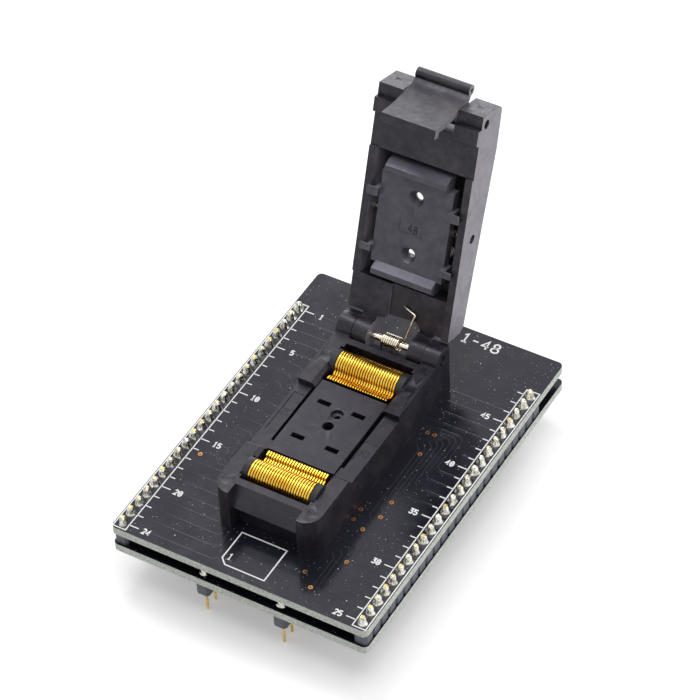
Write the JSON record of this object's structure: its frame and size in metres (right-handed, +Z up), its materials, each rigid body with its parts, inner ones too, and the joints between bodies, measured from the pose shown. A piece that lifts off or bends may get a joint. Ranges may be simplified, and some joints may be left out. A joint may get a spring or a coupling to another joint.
{
  "type": "zif socket",
  "caption": "Clamshell zero-insertion-force socket for a flat two-sided package, with a sprung hinged lid and latch, on a two-board adapter with dual-in-line pins.",
  "frame": {"origin": "middle of the dual in-line pin pattern, on the seating plane under the plug-in strips' plastic", "axes": "+Z up out of the boards, +Y towards the lid's hinge, along the pin rows, +X across the rows"},
  "size_m": [0.05, 0.0757, 0.0675],
  "materials": {
    "board_black": "glossy solder mask",
    "via_copper": "plated copper",
    "strip_plastic": "matte moulded",
    "pin_gold": "gold flash",
    "solder": "bright solder",
    "housing_plastic": "matte moulded",
    "nest_plastic": "matte moulded",
    "comb_plastic": "matte moulded",
    "contact_gold": "bright gold plating",
    "steel": "bright wire",
    "lid_plastic": "matte moulded"
  },
  "bodies": {
    "socket": {"lower_board": "board_black", "top_board": "board_black", "via_rings": "via_copper", "left_plug_strip": "strip_plastic", "right_plug_strip": "strip_plastic", "left_plug_pins": "pin_gold", "right_plug_pins": "pin_gold", "left_link_strip": "strip_plastic", "right_link_strip": "strip_plastic", "left_link_pins": "pin_gold", "right_link_pins": "pin_gold", "top_solder": "solder", "lower_solder": "solder", "plug_solder": "solder", "base_housing": "housing_plastic", "nest_plate": "nest_plastic", "front_comb": "comb_plastic", "rear_comb": "comb_plastic", "front_contacts": "contact_gold", "rear_contacts": "contact_gold", "hinge_pin": "steel", "hinge_spring": "steel"},
    "lid": {"lid_frame": "lid_plastic", "pressure_pin": "steel", "latch_pin": "steel"},
    "pressure_pad": {"pressure_plate": "lid_plastic", "pressure_springs": "steel"},
    "latch": {"latch_lever": "lid_plastic", "latch_spring": "steel"}
  },
  "joints": [
    {"name": "lid_hinge", "type": "hinge", "parent": "socket", "child": "lid", "pos_m": [0, 0.0224, 0.01734], "axis": [1, 0, 0], "range_deg": [0, 108.45], "stiffness_Nm_per_rad": 0.004, "springref_deg": -34.38, "deforming": ["hinge_spring"]},
    {"name": "latch_pivot", "type": "hinge", "parent": "lid", "child": "latch", "pos_m": [0, 0.03944, 0.05862], "axis": [1, 0, 0], "range_deg": [-9, 7], "stiffness_Nm_per_rad": 0.001, "springref_deg": 6.99, "deforming": ["latch_spring"]},
    {"name": "pressure_float", "type": "slide", "parent": "lid", "child": "pressure_pad", "axis": [0, 0.9486, -0.3165], "range_m": [0, 0.0004], "stiffness_N_per_m": 200, "springref_m": -0.001, "deforming": ["pressure_springs"]}
  ]
}
